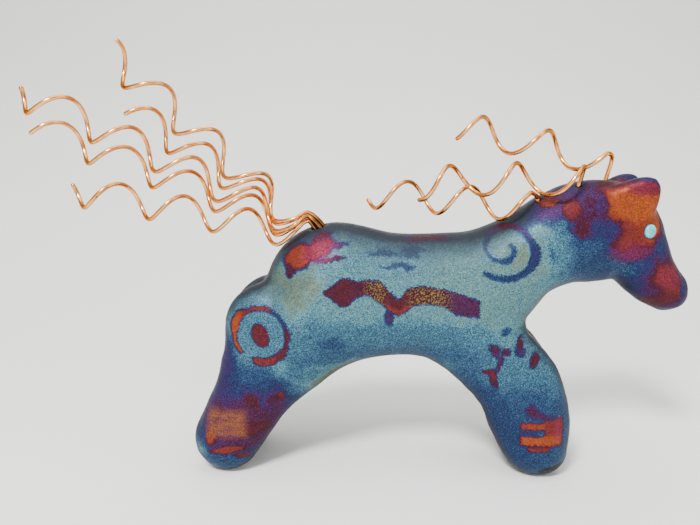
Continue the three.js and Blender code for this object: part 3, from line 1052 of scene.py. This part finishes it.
def stroke_along(shader, share, rows, reach, widest):
    """A brush stroke's middle, half width and film at a share of its length, from rows of the same.

    A colour ramp holds the rows, so reach and widest bring the middle and the half width into 0 to 1.
    """
    stops = [(at, (middle / reach, half / widest, film)) for at, middle, half, film in rows]
    drawn = shader.node("ShaderNodeValToRGB", {"stops": stops}, {"Fac": share})
    middle, half, film = shader.parts(drawn)
    return middle * reach, half * widest, film


def painted_marks(shader, x, z, film):
    """The ring and dot, the wavy band and the spiral. Gives the film and where gold specks show."""
    # Ring and dot on the haunch: a stroke of varying weight, open at the lower left.
    rx, rz = x - RING_MIDDLE[0], z - RING_MIDDLE[1]
    away = shader.length(rx * 0.98, rz * 1.05)
    left = shader.ramp(rx, -7.0, -12.0)
    low_right = shader.ramp(rz, -2.0, -9.0) * shader.ramp(rx, -6.0, 0.0)
    stroke = 1.0 + left * shader.ramp(rz, -2.0, 5.0) * 1.5 + low_right * 0.9
    ring = shader.ramp(abs(away - RING_RADIUS) - stroke, 0.9, -0.7)
    gap = shader.ramp(shader.length(rx + 7.6, rz + 12.6), 4.6, 3.0)
    ring = ring * (1 - gap)
    top_right = shader.ramp(shader.length(rx - 9.5, rz - 9.0), 7.0, 3.0)
    ring_film = 0.15 - left * 0.11 + shader.ramp(rx, 4.0, 11.0) * 0.08
    film = shader.mix(ring * (1 - top_right * 0.5), film, ring_film)
    dot = shader.ramp(shader.length((rx + rz * 0.2) * 0.23, rz * 0.18), 1.15, 0.85)
    film = shader.mix(dot, film, 0.21)
    inside = shader.ramp(away, 12.0, 9.0) * (1 - dot)
    film = shader.mix(inside * 0.4, film, 0.75)

    # Wavy band along the barrel, with an arrow head behind and a square end in front.
    first, last = BAND[0][0], BAND[-1][0]
    length = last - first
    rows = [((at - first) / length, middle - BAND_BASE, half, thin) for at, middle, half, thin in BAND]
    share = (x - first) * (1 / length)
    middle, half, band_film = stroke_along(shader, share, rows, reach=16, widest=8)
    below = z - middle - BAND_BASE
    band = shader.ramp(abs(below) - half, 0.9, -0.9)
    band = band * shader.ramp(x, first - 0.4, first + 1.0) * shader.ramp(x, last + 0.7, last - 0.7)
    trough = shader.ramp(abs(x - 18.0), 8.0, 3.0)
    bottom = trough * shader.ramp(below, 0.0, -3.4)
    film = shader.mix(band, film, band_film - bottom * 0.13)
    drip = shader.ramp(shader.length((x - 14.6) * 0.42, (z - 83.4) * 0.24), 1.3, 0.6)
    film = shader.mix(drip * (1 - band), film, VIOLET)
    crests = shader.ramp(abs(x - 8.0), 7.0, 2.0) + shader.ramp(abs(x - 33.0), 13.0, 5.0)
    gold = band * shader.clamped(crests) * (1 - bottom)

    # Spiral on the shoulder, wound in from its lower left.
    sx, sz = x - SPIRAL_MIDDLE[0], z - SPIRAL_MIDDLE[1]
    away = shader.length(sx, sz)
    angle = shader.math("ARCTAN2", sz, sx) * (1 / (2 * math.pi)) - SPIRAL_SEAM / 360
    share = shader.math("FLOORED_MODULO", angle, 1.0)
    for begin, end_fade in ((SPIRAL_SEAM, (0.01, 0.03)), (SPIRAL_SEAM + 360, (0.61, 0.57))):
        rows = [((row[0] - begin) / 360, *row[1:]) for row in SPIRAL if 0 <= row[0] - begin <= 360]
        radius, half, thin = stroke_along(shader, share, rows, reach=16, widest=4)
        arm = shader.ramp(abs(away - radius) - half, 0.8, -0.7) * shader.ramp(share, *end_fade)
        film = shader.mix(arm, film, thin)
    return film, gold


def bare_copper(wire):
    """Bright copper wire with a little tarnish, scuffs and nicks, and painted shade where the tail leaves the
    clay.
    """
    shader = Shader("bare_copper")
    place = shader.millimetres()
    tarnish = shader.noise(place, 7.0, 3.0, 0.6)
    scuffs = shader.noise(place, 0.9, 3.0, 0.7)
    nicks = shader.noise(place, 2.4, 1.0, 0.5)
    x, _, z = shader.parts(place)
    base = tuple(wire.colour)
    brown = tuple(c * k for c, k in zip(base, (0.55, 0.4, 0.32)))
    gold = (0.92, 0.46, 0.15)
    colour = shader.mix_colour(shader.ramp(tarnish, 0.35, 0.7), base, gold)
    colour = shader.mix_colour(shader.ramp(scuffs, 0.6, 0.75) * 0.35, colour, brown)
    colour = shader.mix_colour(shader.ramp(nicks, 0.72, 0.78) * 0.8, colour, srgb(60, 34, 26))
    # Painted shade on the wires where they go into the tail's socket.
    rx, rz = TAIL_ROOT[0] - SOURCE_X, TAIL_ROOT[2]
    tail_root_shade = shader.ramp(shader.length(x - rx, z - rz), 7.0, 3.0)
    colour = shader.mix_colour(tail_root_shade * 0.8, colour, srgb(52, 26, 18))
    roughness = shader.ramp(scuffs, 0.3, 0.7, 0.17, 0.3)
    return shader.finish(
        bump=(scuffs, 0.012 * MM),
        Base_Color=colour,
        Roughness=roughness,
        Metallic=1.0,
        Specular_Tint=(0.55, 0.3, 0.14, 1.0),
    )


def turquoise(eyes):
    """Polished pale turquoise with milky clouds and thin darker veins."""
    shader = Shader("turquoise")
    place = shader.millimetres()
    veins = shader.noise(place, 1.6, 3.0, 0.6)
    milk = shader.noise(place, 3.0, 2.0, 0.5)
    base = tuple(eyes.colour)
    pale = tuple(min(1.0, c * 1.25 + 0.05) for c in base)
    deep = tuple(c * 0.72 for c in base)
    colour = shader.mix_colour(shader.ramp(milk, 0.35, 0.65), base, pale)
    colour = shader.mix_colour(shader.ramp(abs(veins - 0.5), 0.03, 0.0) * 0.5, colour, deep)
    return shader.finish(
        bump=(veins, 0.01 * MM),
        Base_Color=colour,
        Roughness=0.22,
        Coat_Weight=0.15,
    )


def seamless_paper(stage):
    """Matte pale paper with painted shade that darkens it a little where it rises behind the horse."""
    shader = Shader("seamless_paper")
    place = shader.millimetres()
    fibre = shader.noise(place, 1.4, 3.0, 0.6)
    mottle = shader.noise(place, 90.0, 2.0, 0.5)
    base = tuple(stage.paper)
    shade = tuple(c * 0.965 for c in base)
    colour = shader.mix_colour(mottle, base, shade)
    # Painted shade: the paper darkens as it rises behind the horse.
    _, _, height = shader.parts(place)
    above = tuple(c * 0.82 for c in base)
    colour = shader.mix_colour(shader.ramp(height, 10.0, 450.0), colour, above)
    return shader.finish(
        bump=(fibre, 0.02 * MM),
        Base_Color=colour,
        Roughness=0.9,
    )


# The studio, in metres.

PAPER_SIZE = (5.0, 2.2)
PAPER_SHIFT = -0.2
PAPER_RISE = 1.9
PAPER_BEND = dict(width=0.75, segments=24, limit_method="ANGLE", angle_limit=0.5)

# Lights: name, place, target, size, power in watts.
LIGHTS = [
    ("key", (-0.35, -0.75, 1.15), (0.0, 0.0, 0.08), 0.32, 30),
    ("overhead", (0.1, 0.0, 1.25), (0.0, -0.1, 0.0), 1.2, 11),
    ("side_fill", (1.1, -0.4, 0.5), (0.0, 0.0, 0.1), 0.6, 3.5),
]

# The room's light: where it changes from dark below to bright above, how grey it is there, and its tint.
ROOM = ((0.1, 0.18), (0.75, 1.0))
ROOM_TINT = (0.92, 0.96, 1.0)
ROOM_STRENGTH = 0.36
SENSOR_WIDTH = 36


class HORSE_OT_stage(bpy.types.Operator):
    """Lay the seamless paper, set the lights and place the camera"""

    bl_idname = "horse.stage"
    bl_label = "Studio Stage"

    def execute(self, context):
        stage = context.scene.horse_stage
        self.lay_paper(stage)
        for row in LIGHTS:
            self.light(*row)
        self.surround(context.scene)
        self.camera(context.scene, stage)
        return {"FINISHED"}

    def lay_paper(self, stage):
        """A sheet that lies under the horse and rises behind it in one soft bend."""
        deselect()
        bpy.ops.mesh.primitive_plane_add(size=1)
        paper = new_piece("seamless_paper")
        paper.data.transform(Matrix.Diagonal((*PAPER_SIZE, 1, 1)))
        paper.data.transform(Matrix.Translation((0, PAPER_SHIFT, 0)))
        bpy.ops.object.mode_set(mode="EDIT")
        shape = bmesh.from_edit_mesh(paper.data)
        for edge in shape.edges:
            edge.select_set(all(v.co.y > 0.5 for v in edge.verts))
        bmesh.update_edit_mesh(paper.data)
        bpy.ops.mesh.extrude_region_move(TRANSFORM_OT_translate={"value": (0, 0.0, PAPER_RISE)})
        bpy.ops.object.mode_set(mode="OBJECT")
        apply_modifier(paper, "BEVEL", **PAPER_BEND)
        bpy.ops.object.shade_smooth()
        paper.data.materials.append(seamless_paper(stage))

    def light(self, name, place, target, size, power):
        deselect()
        bpy.ops.object.light_add(type="AREA", location=place)
        lamp = bpy.context.object
        lamp.name = name
        lamp.data.shape = "DISK"
        lamp.data.size = size
        lamp.data.energy = power
        lamp.rotation_euler = (Vector(target) - Vector(place)).to_track_quat("-Z", "Y").to_euler()

    def surround(self, scene):
        """A pale room, so that the copper has something to mirror: lighter above than below."""
        world = bpy.data.worlds.new("studio")
        world.use_nodes = True
        scene.world = world
        nodes, links = world.node_tree.nodes, world.node_tree.links
        background = nodes["Background"]
        place = nodes.new("ShaderNodeTexCoord")
        split = nodes.new("ShaderNodeSeparateXYZ")
        ramp = nodes.new("ShaderNodeValToRGB")
        for element, (position, grey) in zip(ramp.color_ramp.elements, ROOM):
            element.position = position
            element.color = (*(grey * share for share in ROOM_TINT), 1)
        links.new(place.outputs["Generated"], split.inputs[0])
        links.new(split.outputs[2], ramp.inputs["Fac"])
        links.new(ramp.outputs["Color"], background.inputs["Color"])
        background.inputs["Strength"].default_value = ROOM_STRENGTH

    def camera(self, scene, stage):
        deselect()
        bpy.ops.object.camera_add(
            location=stage.camera_place,
            rotation=(math.pi / 2 - stage.camera_pitch, 0, stage.camera_yaw),
        )
        camera = bpy.context.object
        camera.data.sensor_width = SENSOR_WIDTH
        camera.data.sensor_fit = "HORIZONTAL"
        camera.data.lens = stage.lens
        camera.data.clip_start = 0.01
        camera.data.clip_end = 20
        scene.camera = camera


class HORSE_PT_panel(bpy.types.Panel):
    """Lists the sizes, the colours and the pieces"""

    bl_label = "Raku Horse"
    bl_idname = "HORSE_PT_panel"
    bl_space_type = "VIEW_3D"
    bl_region_type = "UI"
    bl_category = "Horse"

    def draw(self, context):
        for group, operator in PANEL_ROWS:
            box = self.layout.box()
            settings = getattr(context.scene, group)
            for name in settings.__annotations__:
                box.prop(settings, name)
            box.operator(operator)


PANEL_ROWS = (
    ("horse_clay", "horse.clay_body"),
    ("horse_wire", "horse.copper_wires"),
    ("horse_eye", "horse.eye_stones"),
    ("horse_stage", "horse.stage"),
)
SETTINGS = (
    ("horse_clay", HorseClaySettings),
    ("horse_wire", HorseWireSettings),
    ("horse_eye", HorseEyeSettings),
    ("horse_stage", HorseStageSettings),
)
CLASSES = (
    HorseClaySettings,
    HorseWireSettings,
    HorseEyeSettings,
    HorseStageSettings,
    HORSE_OT_clay_body,
    HORSE_OT_copper_wires,
    HORSE_OT_eye_stones,
    HORSE_OT_stage,
    HORSE_PT_panel,
)


def register():
    for cls in CLASSES:
        bpy.utils.register_class(cls)
    for name, cls in SETTINGS:
        setattr(bpy.types.Scene, name, bpy.props.PointerProperty(type=cls))


def unregister():
    for name, _ in SETTINGS:
        delattr(bpy.types.Scene, name)
    for cls in reversed(CLASSES):
        bpy.utils.unregister_class(cls)


def main():
    register()
    bpy.ops.horse.stage()
    bpy.ops.horse.clay_body()
    bpy.ops.horse.copper_wires()
    bpy.ops.horse.eye_stones()
    bpy.context.view_layer.update()


if __name__ == "__main__":
    main()
